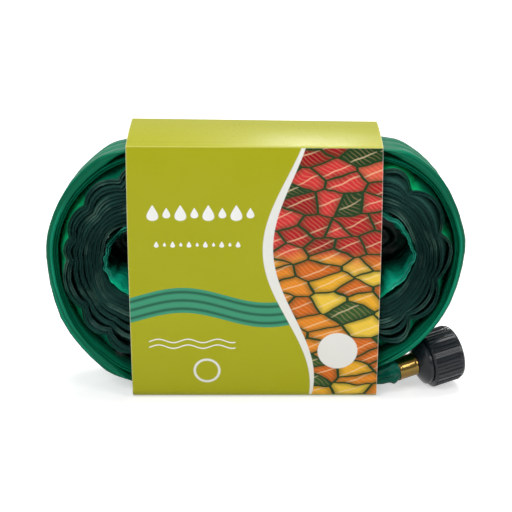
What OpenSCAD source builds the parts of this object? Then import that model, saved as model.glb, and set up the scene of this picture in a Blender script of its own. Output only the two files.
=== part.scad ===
// Flat soaker hose, wound into an oval coil and held by a printed card sleeve.
// The coil stands on the sleeve's base. X runs along the coil, Y through its depth
// with the front at -Y, and Z is up. The origin is the centre of the sleeve's base.

/* [Hose] */
// Width of the hose when it lies flat
hose_w = 54; // [48:0.5:54]
// Thickness of the hose when it lies flat, both walls together
hose_t = 1.3; // [0.9:0.1:1.3]
// Whole turns in the coil; half a turn more brings the inner end over the core
whole_turns = 12; // [10:1:12]
// Depth of the hose's last stretch, folded up in the back of the core
fold_d = 17; // [12:0.5:17]

/* [Sleeve] */
// Width of the card sleeve along the coil
sleeve_w = 155; // [120:1:156]
// Height of the sleeve
sleeve_h = 165.6; // [165.6:0.1:168]
// Depth of the sleeve at its top folds
sleeve_d = 55.8; // [55.8:0.1:58]
// How far the front and back panels bow out at mid height
panel_bow = 6; // [2:0.5:8]
// Thickness of the card
card_t = 0.6; // [0.4:0.1:0.6]
// Radius of the two bottom corners
corner_r = 6; // [4:0.5:6]
// Overlap of the card's ends, which are glued on the back panel
lap = 20; // [12:1:26]

/* [Ferrule and barb] */
// Outside diameter of the brass ferrules
ferrule_od = 15; // [14.6:0.1:15.2]
// Wall thickness of the ferrules
ferrule_wall = 0.5; // [0.4:0.05:0.6]
// Length of the ferrules
ferrule_l = 13; // [12:0.5:14]
// Diameter over the barbs that the hose is crimped on
barb_d = 9.8; // [9:0.1:10]
// Bore of the stems
water_d = 7; // [6:0.1:7.6]

/* [Tap nut] */
// Diameter over the nut's ribs
nut_d = 36; // [34:0.5:36]
// Length of the nut
nut_l = 21.2; // [20:0.1:23]
// Ribs around the nut
nut_ribs = 34; // [24:1:40]
// Diameter over the crests of the nut's female G3/4 thread
nut_bore_d = 24.2; // [24.1:0.05:24.3]
// Radial play of the nut on the stem's neck
swivel_play = 0.05; // [0.03:0.01:0.09]

/* [End cap] */
// Diameter of the male G3/4 thread that the end cap screws onto
thread_d = 26.4; // [26.2:0.1:26.5]
// Radial play of the cap on that thread
cap_play = 0.1; // [0.05:0.01:0.15]
// Outside diameter of the end cap
cap_d = 33; // [32:0.5:33.5]
// Ribs around the end cap
cap_ribs = 28; // [20:1:32]

/* [Hidden] */

// Centre line of the outermost turn, counter-clockwise from the right, as [x, z]
outer_line = [
    [129.4, 96], [125, 118.3], [110.5, 144], [84, 161.5], [44, 164.2],
    [0, 164.4], [-44, 164], [-81, 161.2], [-108.5, 141], [-124, 115],
    [-127.6, 90], [-121, 56], [-104.5, 29], [-77, 7], [-38, 4.8],
    [0, 4.8], [36, 5.6], [72, 12], [101, 30], [121.5, 59]
];
// Centre line of the innermost turn, point for point
core_line = [
    [98, 94], [94, 104], [84, 111], [64, 114.5], [34, 116.2],
    [0, 117], [-34, 116.2], [-60, 114], [-79, 109], [-89, 101.5],
    [-92, 92], [-89, 84], [-79, 77.5], [-60, 73], [-30, 71],
    [0, 70.5], [30, 71], [58, 73], [80, 77.5], [93, 85]
];
// Each pair is a turn and the share of the bundle's thickness that lies outside it:
// three turns lie together as a rim, then the hose crosses a gap at the bottom, and the
// rest is wound closely
packing = [[0, 0], [2.95, 0.16], [3.13, 0.4], [whole_turns + 0.5, 1]];
stations_per_turn = 48;
start_index = 16;           // the outer end leaves the coil under the sleeve, right of centre
line_points = len(outer_line);
turns = whole_turns + 0.5;

// Axis of the tap fitting, from the ferrule's mouth outwards
inlet_mouth = [90.3, -17.4, 15.1];
inlet_swing = 22;           // degrees towards the back
inlet_rise = 8.5;           // degrees upwards
// Axis of the end fitting, which lies level in the front of the core
end_mouth = [12, -9, 92.5];

end_gap = 0.3;              // end play between a part that turns and its neighbour
collar_r = 14.8;
cone_l = 4.4;
collar_l = 2.6;
neck_r = 9.7;
flange_r = 11.5;
flange_l = 2;
washer_t = 2.5;
back_wall = 3.5;            // the nut's wall that the neck passes through
nut_start = ferrule_l + cone_l + collar_l + end_gap;
cavity_start = nut_start + back_wall;
flange_start = cavity_start + end_gap;
washer_start = flange_start + flange_l;
thread_start = washer_start + washer_t + end_gap;
cavity_r = nut_bore_d / 2 + 0.5;
rib_r = 0.55;

end_thread_l = 11;
end_thread_start = ferrule_l + cone_l + collar_l;
cap_start = end_thread_start + end_gap;
cap_wall = 2;
cap_inside_l = end_thread_l + washer_t + 0.2;
$fn = 96;

// ---- helpers ----

function mix(a, b, t) = a + (b - a) * t;
function unit(v) = v / norm(v);
function wrap(i, n) = ((i % n) + n) % n;

// A smooth curve through four neighbouring points, between the second and the third
function smooth4(a, b, c, d, t) =
    0.5 * (2 * b + (c - a) * t + (2 * a - 5 * b + 4 * c - d) * t * t
        + (3 * b - 3 * c + d - a) * t * t * t);

// The point at place s along a closed line of points, where s counts points
function on_line(line, s) =
    let (n = len(line), i = floor(s), t = s - i)
    smooth4(line[wrap(i - 1, n)], line[wrap(i, n)], line[wrap(i + 1, n)], line[wrap(i + 2, n)], t);

function packed(k) =
    let (j = [for (i = [0:len(packing) - 2]) if (k >= packing[i][0]) i], i = j[len(j) - 1])
    let (a = packing[i], b = packing[i + 1])
    mix(a[1], b[1], (k - a[0]) / (b[0] - a[0]));

// The coil's centre line: k counts turns from the outer end, clockwise from the front
function wound(k) =
    let (s = wrap(start_index - k * line_points, line_points))
    mix(on_line(outer_line, s), on_line(core_line, s), packed(k));

// Unit normal of each segment, to the left of the way it runs
function left_normal(a, b) = let (d = unit(b - a)) [-d[1], d[0]];

// An open path moved sideways by d, with mitred corners
function beside(path, d) = [
    for (i = [0:len(path) - 1])
        let (m = left_normal(path[max(i - 1, 0)], path[max(i, 1)]))
        let (n = left_normal(path[min(i, len(path) - 2)], path[min(i + 1, len(path) - 1)]))
        path[i] + (m + n) * d / (1 + m * n)
];

function backwards(list) = [for (i = [len(list) - 1:-1:0]) list[i]];

// A strip of thickness t along a path in the XZ plane, as wide as w along Y
module strip(path, t, w) {
    translate([0, w / 2, 0])
        rotate([90, 0, 0])
            linear_extrude(w)
                polygon(concat(beside(path, t / 2), backwards(beside(path, -t / 2))));
}

function bezier(p, t) =
    let (u = 1 - t)
    u * u * u * p[0] + 3 * u * u * t * p[1] + 3 * u * t * t * p[2] + t * t * t * p[3];
function bezier_way(p, t) =
    let (u = 1 - t)
    unit(u * u * (p[1] - p[0]) + 2 * u * t * (p[2] - p[1]) + t * t * (p[3] - p[2]));

// ---- hose ----

coil_path = [for (j = [0:round(turns * stations_per_turn)]) wound(j / stations_per_turn)];

module hose_coil() {
    color([0.03, 0.42, 0.29])
        strip(coil_path, hose_t, hose_w);
}

tail_sides = 24;
tail_rings = 12;
cuff_r = ferrule_od / 2 - ferrule_wall - 0.02;

// One ring of a tail: start_w wide and start_t thick at share 0, gathered round at share 1
function tail_ring(centre, way, wide, share, start_w, start_t) =
    let (high = cross(way, wide))
    let (rw = mix(start_w / 2, cuff_r, pow(share, 0.7)), rh = mix(start_t / 2, cuff_r, pow(share, 1.6)))
    let (power = mix(0.06, 1, min(1, share * 3)))
    [for (i = [0:tail_sides - 1])
        let (a = (i + 0.5) * 360 / tail_sides, c = cos(a), s = sin(a))
        centre + wide * rw * sign(c) * pow(abs(c), power) + high * rh * sign(s) * pow(abs(s), power)];

// The end of the hose, gathered into a ferrule
module gathered_tail(route, start_w, start_t) {
    rings = [
        for (j = [0:tail_rings])
            let (t = j / tail_rings, way = bezier_way(route, t))
            let (wide = unit(cross([0, 0, 1], way)))
            tail_ring(bezier(route, t), way, wide, t, start_w, start_t)
    ];
    n = tail_sides;
    polyhedron(
        points = [for (ring = rings) each ring],
        faces = concat(
            [[for (i = [0:n - 1]) i]],
            [for (j = [0:tail_rings - 1], i = [0:n - 1])
                let (a = j * n + i, b = j * n + (i + 1) % n)
                each [[a, a + n, b + n], [a, b + n, b]]],
            [[for (i = [n - 1:-1:0]) tail_rings * n + i]]
        ),
        convexity = 4
    );
}

inlet_way = [
    cos(inlet_rise) * cos(inlet_swing), cos(inlet_rise) * sin(inlet_swing), sin(inlet_rise)
];
inlet_start = coil_path[0];
inlet_start_way = unit(coil_path[0] - coil_path[1]);
inlet_route = [
    [inlet_start[0], 0, inlet_start[1]],
    [inlet_start[0], 0, inlet_start[1]] + 18 * [inlet_start_way[0], 0, inlet_start_way[1]],
    inlet_mouth - 22 * inlet_way,
    inlet_mouth
];

fold_back = hose_w / 2 - 0.5;
fold_front = fold_back - fold_d;
fold_stations = 80;
fold_gap = 1;               // room between the folded run and the innermost turn
fold_join = 0.08;           // share of the loop over which the run leaves the strip's line

// Outline of the folded run: it starts on the strip's end and goes once round the core
fold_line = [
    for (j = [0:fold_stations])
        let (s = start_index - (turns + j / fold_stations) * line_points)
        on_line(core_line, wrap(s, line_points))
];
fold_outline = [
    for (j = [0:fold_stations])
        let (share = min(1, j / (fold_stations * fold_join)))
        beside(fold_line, mix(hose_t / 2, -hose_t / 2 - fold_gap, share))[j]
];

core_route = [
    [-36, fold_front, 93],
    [-36, fold_front - 16, 93],
    end_mouth - [26, 0, 0],
    end_mouth
];

// The hose's end inside a ferrule, wrapped around the barb
module hose_cuff() {
    sunk = 0.3;
    difference() {
        translate([0, 0, -sunk])
            cylinder(r = cuff_r - 0.28, h = ferrule_l - 0.2 + sunk);
        translate([0, 0, 0.5])
            cylinder(d = barb_d + 0.1, h = ferrule_l);
    }
}

module hose_inlet_tail() {
    color([0.04, 0.40, 0.27]) {
        gathered_tail(inlet_route, hose_w, hose_t);
        on_inlet() hose_cuff();
    }
}

module hose_core_fold() {
    color([0.04, 0.36, 0.25])
        translate([0, fold_back, 0])
            rotate([90, 0, 0])
                linear_extrude(fold_d)
                    polygon(fold_outline);
}

module hose_core_tail() {
    color([0.04, 0.40, 0.27]) {
        gathered_tail(core_route, 20, 9);
        on_end() hose_cuff();
    }
}

// ---- card sleeve ----

// Depth of a panel's outer face from the middle plane at height z
function panel_y(z) =
    sleeve_d / 2 + panel_bow * sin(180 * pow((sleeve_h - z) / sleeve_h, 0.75));

panel_steps = 14;
corner_steps = 8;
corner_y = panel_y(corner_r);
lap_low = 72;               // lowest line of the overlap on the back panel
jog = 8;                    // length over which the outer end steps out over the inner one
glue_t = 0.1;

function panel_heights(low, high) = [for (i = [0:panel_steps]) mix(low, high, i / panel_steps)];

lap_heights = panel_heights(lap_low, lap_low + lap);

// Middle of the card, from its inner end on the back, over the top and front, and round
// the base to its outer end on the back
function card_path() =
    let (m = card_t / 2)
    concat(
        [for (z = lap_heights) [panel_y(z) - m, z]],
        [for (z = panel_heights(lap_low + lap + jog, sleeve_h - m)) [panel_y(z) - m, z]],
        [for (z = backwards(panel_heights(corner_r, sleeve_h - m))) [m - panel_y(z), z]],
        [for (i = [1:corner_steps])
            let (a = 90 * i / corner_steps)
            [corner_r - corner_y - (corner_r - m) * cos(a), corner_r - (corner_r - m) * sin(a)]],
        [for (i = [0:corner_steps - 1])
            let (a = 90 * i / corner_steps)
            [corner_y - corner_r + (corner_r - m) * sin(a), corner_r - (corner_r - m) * cos(a)]],
        [for (z = panel_heights(corner_r, lap_low - jog)) [panel_y(z) - m, z]],
        [[panel_y(lap_low) + m + glue_t, lap_low - 0.5]],
        [for (z = lap_heights) [panel_y(z) + m + glue_t, z]]
    );

// Turns a section drawn in the YZ plane into a solid along X
module along_x(w) {
    translate([-w / 2, 0, 0])
        rotate([90, 0, 90])
            linear_extrude(w)
                children();
}

module card_sleeve() {
    path = card_path();
    color([0.66, 0.66, 0.16])
        along_x(sleeve_w)
            polygon(concat(beside(path, card_t / 2), backwards(beside(path, -card_t / 2))));
}

module sleeve_lap_glue() {
    middle = [for (i = [3:panel_steps - 3]) [panel_y(lap_heights[i]) + glue_t / 2, lap_heights[i]]];
    color([0.9, 0.88, 0.8])
        along_x(sleeve_w - 12)
            polygon(concat(beside(middle, glue_t / 2), backwards(beside(middle, -glue_t / 2))));
}

// ---- fittings, drawn along Z from the ferrule's mouth ----

module on_inlet() {
    translate(inlet_mouth)
        rotate([0, 90 - inlet_rise, inlet_swing])
            children();
}

module on_end() {
    translate(end_mouth)
        rotate([0, 90, 0])
            children();
}

module ferrule() {
    color([0.80, 0.60, 0.25])
        difference() {
            cylinder(d = ferrule_od, h = ferrule_l);
            translate([0, 0, -1])
                cylinder(d = ferrule_od - 2 * ferrule_wall, h = ferrule_l + 2);
        }
}

// The barbed insert inside the hose, with the cone and collar that back the ferrule
module barbed_root() {
    translate([0, 0, 0.6])
        cylinder(d = barb_d - 1, h = ferrule_l);
    for (i = [0:3])
        translate([0, 0, 1.2 + i * 2.8])
            cylinder(d1 = barb_d - 1, d2 = barb_d, h = 2);
    translate([0, 0, ferrule_l])
        cylinder(r1 = 6.8, r2 = collar_r, h = cone_l);
    translate([0, 0, ferrule_l + cone_l])
        cylinder(r = collar_r, h = collar_l);
}

module inlet_stem_along_z() {
    neck_l = flange_start - ferrule_l - cone_l - collar_l;
    difference() {
        union() {
            barbed_root();
            translate([0, 0, ferrule_l + cone_l + collar_l - 0.5])
                cylinder(r = neck_r, h = neck_l + 1);
            translate([0, 0, flange_start])
                cylinder(r = flange_r, h = flange_l);
        }
        translate([0, 0, -1])
            cylinder(d = water_d, h = flange_start + flange_l + 2);
    }
}

// Rounded ribs along a round body
module rib_ring(r, count, low, high) {
    for (i = [0:count - 1])
        rotate([0, 0, i * 360 / count])
            translate([r - rib_r, 0, low])
                cylinder(r = rib_r, h = high - low, $fn = 24);
}

module coupling_nut_along_z() {
    body_r = nut_d / 2 - 0.4;
    bore_r = nut_bore_d / 2;
    hole_r = neck_r + swivel_play;
    chamfer = 3;
    bevel = 1.2;
    nut_end = nut_start + nut_l;
    rotate_extrude()
        polygon([
            [hole_r, nut_start], [body_r - chamfer, nut_start], [body_r, nut_start + chamfer],
            [body_r, nut_end - bevel], [body_r - bevel, nut_end], [bore_r + 1, nut_end],
            [bore_r, nut_end - 1], [bore_r, thread_start], [cavity_r, thread_start],
            [cavity_r, cavity_start], [hole_r, cavity_start]
        ]);
    rib_ring(nut_d / 2, nut_ribs, nut_start + chamfer + 0.3, nut_end - 3.4);
}

module washer(outer_r, bore_r) {
    difference() {
        cylinder(r = outer_r, h = washer_t);
        translate([0, 0, -1])
            cylinder(r = bore_r, h = washer_t + 2);
    }
}

module end_stem_along_z() {
    difference() {
        union() {
            barbed_root();
            translate([0, 0, end_thread_start])
                cylinder(d = thread_d, h = end_thread_l - 0.8);
            translate([0, 0, end_thread_start + end_thread_l - 0.8])
                cylinder(d1 = thread_d, d2 = thread_d - 1.6, h = 0.8);
        }
        translate([0, 0, -1])
            cylinder(d = water_d, h = ferrule_l + cone_l + 3);
        translate([0, 0, ferrule_l + cone_l])
            cylinder(d = 18, h = end_thread_l + 10);
    }
}

module end_cap_along_z() {
    body_r = cap_d / 2 - 0.4;
    bevel = 1;
    cap_l = cap_inside_l + cap_wall;
    difference() {
        union() {
            translate([0, 0, cap_start])
                cylinder(r = body_r, h = cap_l - bevel);
            translate([0, 0, cap_start + cap_l - bevel])
                cylinder(r1 = body_r, r2 = body_r - bevel, h = bevel);
            rib_ring(cap_d / 2, cap_ribs, cap_start + 0.8, cap_start + cap_l - bevel - 0.6);
        }
        translate([0, 0, cap_start - 1])
            cylinder(r = thread_d / 2 + cap_play, h = cap_inside_l + 1);
    }
}

module inlet_ferrule() { on_inlet() ferrule(); }
module inlet_stem() { color([0.09, 0.09, 0.10]) on_inlet() inlet_stem_along_z(); }
module coupling_nut() { color([0.08, 0.08, 0.09]) on_inlet() coupling_nut_along_z(); }
module tap_washer() {
    color([0.16, 0.15, 0.15])
        on_inlet()
            translate([0, 0, washer_start])
                washer(nut_bore_d / 2 - 0.1, 6.5);
}
module end_ferrule() { on_end() ferrule(); }
module end_stem() { color([0.09, 0.09, 0.10]) on_end() end_stem_along_z(); }
module end_cap() { color([0.08, 0.08, 0.09]) on_end() end_cap_along_z(); }
module end_cap_washer() {
    color([0.16, 0.15, 0.15])
        on_end()
            translate([0, 0, end_thread_start + end_thread_l + end_gap])
                washer(thread_d / 2 - 0.4, 6.5);
}

hose_coil();
hose_inlet_tail();
hose_core_fold();
hose_core_tail();
card_sleeve();
sleeve_lap_glue();
inlet_ferrule();
inlet_stem();
coupling_nut();
tap_washer();
end_ferrule();
end_stem();
end_cap();
end_cap_washer();
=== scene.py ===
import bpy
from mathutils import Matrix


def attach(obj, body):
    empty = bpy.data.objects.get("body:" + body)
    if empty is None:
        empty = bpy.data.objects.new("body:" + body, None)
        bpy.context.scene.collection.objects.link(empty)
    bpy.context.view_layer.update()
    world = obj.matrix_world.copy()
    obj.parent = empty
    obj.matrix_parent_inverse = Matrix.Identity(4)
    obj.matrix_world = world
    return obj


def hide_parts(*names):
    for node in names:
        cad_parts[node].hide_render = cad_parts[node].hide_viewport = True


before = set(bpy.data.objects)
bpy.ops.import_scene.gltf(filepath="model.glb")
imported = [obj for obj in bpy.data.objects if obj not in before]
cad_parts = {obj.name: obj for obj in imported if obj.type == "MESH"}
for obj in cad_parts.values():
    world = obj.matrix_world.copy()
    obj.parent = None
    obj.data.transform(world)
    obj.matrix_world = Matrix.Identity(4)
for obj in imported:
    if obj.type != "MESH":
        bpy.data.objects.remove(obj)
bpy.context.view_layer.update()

import math

import bmesh
import bpy
from mathutils import Matrix, Vector, noise

MM = 0.001


# ---- camera ----

CAMERA_AIM = Vector((0.9, 0, 85.9)) * MM
CAMERA_DISTANCE = 1015 * MM
CAMERA_ELEVATION = math.radians(20)
CAMERA_LENS = 112.5


def make_camera():
    data = bpy.data.cameras.new("camera")
    data.sensor_width = 36
    data.lens = CAMERA_LENS
    camera = bpy.data.objects.new("camera", data)
    bpy.context.scene.collection.objects.link(camera)
    back = Vector((0, -math.cos(CAMERA_ELEVATION), math.sin(CAMERA_ELEVATION)))
    camera.location = CAMERA_AIM + back * CAMERA_DISTANCE
    camera.rotation_euler = back.to_track_quat("Z", "Y").to_euler()
    bpy.context.scene.camera = camera


make_camera()


# ---- small helpers ----

def mix(a, b, t):
    return a + (b - a) * t


def ramp(low, high, x):
    """0 at low, 1 at high, and an S curve between them"""
    t = min(1.0, max(0.0, (x - low) / (high - low)))
    return t * t * (3 - 2 * t)


def between(rise, fall, x):
    """1 in a stretch, with an S curve at each of its ends"""
    return ramp(*rise, x) * ramp(*fall, x)


def hump(middle, width, x):
    """1 at the middle, falling to 0 on both sides of it"""
    return math.exp(-((x - middle) / width) ** 2)


def wave(x, seed=0.0):
    """A smooth random number from about -1 to 1 along x"""
    return noise.noise(Vector((x, seed, 7.3 * seed))) * 2


def smooth4(a, b, c, d, t):
    """A smooth curve through four points, between the second and the third"""
    return 0.5 * (
        2 * b + (c - a) * t + (2 * a - 5 * b + 4 * c - d) * (t * t)
        + (3 * b - 3 * c + d - a) * (t * t * t)
    )


def on_line(line, s):
    """The point at place s along a closed line, where s counts its points"""
    i = math.floor(s)
    n = len(line)
    return smooth4(*(line[(i + j) % n] for j in (-1, 0, 1, 2)), s - i)


def on_open_line(line, s):
    """The point at place s along a line with two ends"""
    last = len(line) - 1
    i = min(last - 1, math.floor(s))
    return smooth4(*(line[min(last, max(0, i + j))] for j in (-1, 0, 1, 2)), s - i)


# ---- making a piece ----

# Edges that bend by more than these angles, in degrees, look sharp
FILM_CREASE = 60
BRASS_CREASE = 35
CARD_CREASE = 30
PLASTIC_CREASE = 12


def finished(name, bm, body, materials, crease, replaces):
    """Makes a piece of the mesh, rides it on its body and gives it its materials"""
    sharp = math.radians(crease)
    for face in bm.faces:
        face.smooth = True
    for edge in bm.edges:
        edge.smooth = edge.is_manifold and edge.calc_face_angle(0) < sharp
    mesh = bpy.data.meshes.new(name)
    bm.to_mesh(mesh)
    bm.free()
    piece = bpy.data.objects.new(name, mesh)
    bpy.context.scene.collection.objects.link(piece)
    for material in materials:
        mesh.materials.append(material)
    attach(piece, body)
    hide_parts(*replaces)
    return piece


def swept(bm, rings, sides, place, lay_out):
    """Bends a flat grid into a closed tube: place(ring, side) gives a corner, and
    lay_out(ring, side) its place on the flat sheet, kept in a UV map"""
    made = bmesh.ops.create_grid(bm, x_segments=rings - 1, y_segments=sides, size=0.5)
    verts = made["verts"]
    flat = bm.loops.layers.uv.new("sheet")
    for vert in verts:
        ring = round((vert.co.x + 0.5) * (rings - 1))
        side = round((vert.co.y + 0.5) * sides)
        vert.co = place(ring, side % sides)
        for loop in vert.link_loops:
            loop[flat].uv = lay_out(ring, side)
    bmesh.ops.remove_doubles(bm, verts=verts, dist=1e-7)
    rim = [edge for edge in bm.edges if edge.is_boundary]
    bmesh.ops.holes_fill(bm, edges=rim, sides=0)
    bmesh.ops.recalc_face_normals(bm, faces=list(bm.faces))


def turned(bm, outline, sectors, sector_steps, round_off):
    """Spins a closed outline of (radius, height) corners round Z, with its corners rounded:
    one sector first, and then its copies"""
    face = bm.faces.new([bm.verts.new((r * MM, 0, z * MM)) for r, z in outline])
    corners = [vert for vert in face.verts if vert.co.x > 0]
    bmesh.ops.bevel(
        bm, geom=corners, offset=round_off * MM, affect="VERTICES", segments=3, profile=0.5,
        material=-1, clamp_overlap=True,
    )
    bmesh.ops.delete(bm, geom=list(bm.faces), context="FACES_ONLY")
    on_axis = [edge for edge in bm.edges if all(vert.co.x == 0 for vert in edge.verts)]
    bmesh.ops.delete(bm, geom=on_axis, context="EDGES")
    sector = 2 * math.pi / sectors
    bmesh.ops.spin(
        bm, geom=list(bm.verts) + list(bm.edges), cent=(0, 0, 0), axis=(0, 0, 1),
        angle=sector, steps=sector_steps, use_duplicate=False,
    )
    bmesh.ops.spin(
        bm, geom=list(bm.verts) + list(bm.edges) + list(bm.faces), cent=(0, 0, 0), axis=(0, 0, 1),
        angle=sector * (sectors - 1), steps=sectors - 1, use_duplicate=True,
    )
    bmesh.ops.remove_doubles(bm, verts=list(bm.verts), dist=1e-6)
    bmesh.ops.recalc_face_normals(bm, faces=list(bm.faces))


def helical_ridge(bm, root_r, crest_r, start, length, pitch):
    """Adds a thread's ridge round Z, its root sunk into a wall of radius root_r"""
    steps_per_turn = 60
    sunk_r = root_r + math.copysign(0.15, root_r - crest_r)
    root_half = 0.42 * pitch
    crest_half = 0.1 * pitch
    outline = [
        (sunk_r, -root_half), (crest_r, -crest_half), (crest_r, crest_half), (sunk_r, root_half),
    ]
    verts = [bm.verts.new((r * MM, 0, (start + z) * MM)) for r, z in outline]
    face = bm.faces.new(verts)
    before = set(bm.faces) - {face}
    turns = length / pitch
    steps = round(turns * steps_per_turn)
    bmesh.ops.spin(
        bm, geom=[face], cent=(0, 0, 0), axis=(0, 0, 1), dvec=(0, 0, length * MM / steps),
        angle=2 * math.pi * turns, steps=steps, use_duplicate=False,
    )
    bmesh.ops.recalc_face_normals(bm, faces=[f for f in bm.faces if f not in before])


# ---- materials ----

class Paint:
    """Builds one procedural material, or the world, node by node"""

    def __init__(self, name, world=False):
        self.owner = (bpy.data.worlds if world else bpy.data.materials).new(name)
        self.owner.use_nodes = True
        self.tree = self.owner.node_tree
        self.tree.nodes.clear()
        self.output = self.node("ShaderNodeOutputWorld" if world else "ShaderNodeOutputMaterial")

    def node(self, kind, **settings):
        made = self.tree.nodes.new(kind)
        for key, value in settings.items():
            setattr(made, key, value)
        return made

    def put(self, socket, value):
        """Links value to the socket if it is a socket, and otherwise sets it there"""
        if isinstance(value, bpy.types.NodeSocket):
            self.tree.links.new(value, socket)
        elif isinstance(value, (tuple, list)) and len(value) == 3 and socket.type == "RGBA":
            socket.default_value = (*value, 1)
        else:
            socket.default_value = value

    def math(self, operation, *values, clamp=False):
        made = self.node("ShaderNodeMath", operation=operation, use_clamp=clamp)
        for socket, value in zip(made.inputs, values):
            self.put(socket, value)
        return made.outputs[0]

    def scaled(self, value, factor, offset=0.0):
        return self.math("MULTIPLY_ADD", value, factor, offset)

    def both(self, a, b):
        return self.math("MULTIPLY", a, b)

    def either(self, a, b):
        return self.math("MAXIMUM", a, b)

    def without(self, a, b):
        """a, where b isn't"""
        return self.math("SUBTRACT", a, b, clamp=True)

    def vector(self, operation, *values):
        made = self.node("ShaderNodeVectorMath", operation=operation)
        for socket, value in zip(made.inputs, values):
            self.put(socket, value)
        return made.outputs["Value" if operation in ("LENGTH", "DISTANCE") else "Vector"]

    def combine(self, x=0.0, y=0.0, z=0.0):
        made = self.node("ShaderNodeCombineXYZ")
        for socket, value in zip(made.inputs, (x, y, z)):
            self.put(socket, value)
        return made.outputs[0]

    def separate(self, vector):
        made = self.node("ShaderNodeSeparateXYZ")
        self.put(made.inputs[0], vector)
        return made.outputs

    def step(self, low, high, value):
        """0 below low, 1 above high, smooth between them"""
        made = self.node("ShaderNodeMapRange", interpolation_type="SMOOTHSTEP")
        self.put(made.inputs["Value"], value)
        made.inputs["From Min"].default_value = low
        made.inputs["From Max"].default_value = high
        return made.outputs[0]

    def window(self, low, high, soft, value):
        """1 between low and high, 0 outside them"""
        rise = self.step(low - soft, low + soft, value)
        fall = self.step(high - soft, high + soft, value)
        return self.without(rise, fall)

    def blend(self, share, a, b):
        """Colour a, with b over it by share"""
        made = self.node("ShaderNodeMix", data_type="RGBA", clamp_factor=True)
        self.put(made.inputs["Factor"], share)
        self.put(made.inputs[6], a)
        self.put(made.inputs[7], b)
        return made.outputs[2]

    def ramp(self, value, stops, interpolation="LINEAR"):
        """stops are (place, colour) pairs"""
        made = self.node("ShaderNodeValToRGB")
        made.color_ramp.interpolation = interpolation
        elements = made.color_ramp.elements
        while len(elements) < len(stops):
            elements.new(0.5)
        for element, (place, colour) in zip(elements, stops):
            element.position = place
            element.color = (*colour, 1)
        self.put(made.inputs[0], value)
        return made.outputs[0]

    def noise(self, vector, scale, detail=3.0, roughness=0.5, distortion=0.0):
        made = self.node("ShaderNodeTexNoise")
        self.put(made.inputs["Vector"], vector)
        made.inputs["Scale"].default_value = scale
        made.inputs["Detail"].default_value = detail
        made.inputs["Roughness"].default_value = roughness
        made.inputs["Distortion"].default_value = distortion
        return made.outputs["Fac"]

    def stretched_noise(self, vector, scale, detail, distortion=0.0):
        """Noise with a scale of its own along each axis"""
        return self.noise(self.vector("MULTIPLY", vector, scale), 1, detail, distortion=distortion)

    def place(self):
        return self.node("ShaderNodeTexCoord").outputs["Object"]

    def uv(self):
        return self.node("ShaderNodeUVMap", uv_map="sheet").outputs[0]

    def bump(self, height, strength, distance):
        made = self.node("ShaderNodeBump")
        self.put(made.inputs["Height"], height)
        made.inputs["Strength"].default_value = strength
        made.inputs["Distance"].default_value = distance
        return made.outputs[0]

    def surface(self, colour, roughness, normal=None, **settings):
        made = self.node("ShaderNodeBsdfPrincipled")
        self.put(made.inputs["Base Color"], colour)
        self.put(made.inputs["Roughness"], roughness)
        if normal is not None:
            self.put(made.inputs["Normal"], normal)
        for key, value in settings.items():
            self.put(made.inputs[key.replace("_", " ")], value)
        return made.outputs[0]

    def with_glow_through(self, shader, colour, share):
        """Mixes in light that comes through the film from behind"""
        through = self.node("ShaderNodeBsdfTranslucent")
        self.put(through.inputs["Color"], colour)
        mixed = self.node("ShaderNodeMixShader")
        self.put(mixed.inputs[0], share)
        self.tree.links.new(shader, mixed.inputs[1])
        self.tree.links.new(through.outputs[0], mixed.inputs[2])
        return mixed.outputs[0]

    def finish(self, shader):
        self.tree.links.new(shader, self.output.inputs["Surface"])
        return self.owner


# ---- the winding ----

def points(*pairs):
    return [Vector((x, z)) * MM for x, z in pairs]


# Centre lines of the outermost and the innermost turn, as [x, z], counter-clockwise from
# the right
OUTER_LINE = points(
    (129.4, 96), (125, 118.3), (110.5, 144), (84, 161.5), (44, 164.2),
    (0, 164.4), (-44, 164), (-81, 161.2), (-108.5, 141), (-124, 115),
    (-127.6, 90), (-121, 56), (-104.5, 29), (-77, 7), (-38, 4.8),
    (0, 4.8), (36, 5.6), (72, 12), (101, 30), (121.5, 59),
)
CORE_LINE = points(
    (98, 94), (94, 104), (84, 111), (64, 114.5), (34, 116.2),
    (0, 117), (-34, 116.2), (-60, 114), (-79, 109), (-89, 101.5),
    (-92, 92), (-89, 84), (-79, 77.5), (-60, 73), (-30, 71),
    (0, 70.5), (30, 71), (58, 73), (80, 77.5), (93, 85),
)
LINE_POINTS = len(OUTER_LINE)
START_INDEX = 16
TURNS = 12.5
RIM_END = 2.95
RIM_SHARE = 0.17
BUNDLE_START = 3.13
BUNDLE_SHARE = 0.4
BUNDLE_TURNS = TURNS - BUNDLE_START
SECOND_START = 1.07
SECOND_SHARE = 0.118
# Turns, and share of the winding's depth that lies outside them. The outermost turn is puffed
# up. It bends inwards past the nut, and under the sleeve it becomes the second turn
PACKING = (
    (0, 0.03), (0.79, 0.05), (0.87, 0.08), (SECOND_START, SECOND_SHARE), (RIM_END, RIM_SHARE),
    (BUNDLE_START, BUNDLE_SHARE), (TURNS, 1),
)
HOSE_W = 54 * MM
HOSE_T = 1.3 * MM
SLEEVE_EDGE = 77.5 * MM
SLEEVE_CEILING = 164.2 * MM     # highest centre line of the hose under the sleeve


def packed(k):
    """Share of the winding's depth that lies outside turn k"""
    for (k0, s0), (k1, s1) in zip(PACKING, PACKING[1:]):
        if k <= k1:
            return mix(s0, s1, (k - k0) / (k1 - k0))
    return 1.0


def place_on_line(k):
    return (START_INDEX - k * LINE_POINTS) % LINE_POINTS


def eased(line, s):
    """The point at place s along a closed line, with the line's bends evened out"""
    return (on_line(line, s - 0.35) + on_line(line, s) * 2 + on_line(line, s + 0.35)) / 4


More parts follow.
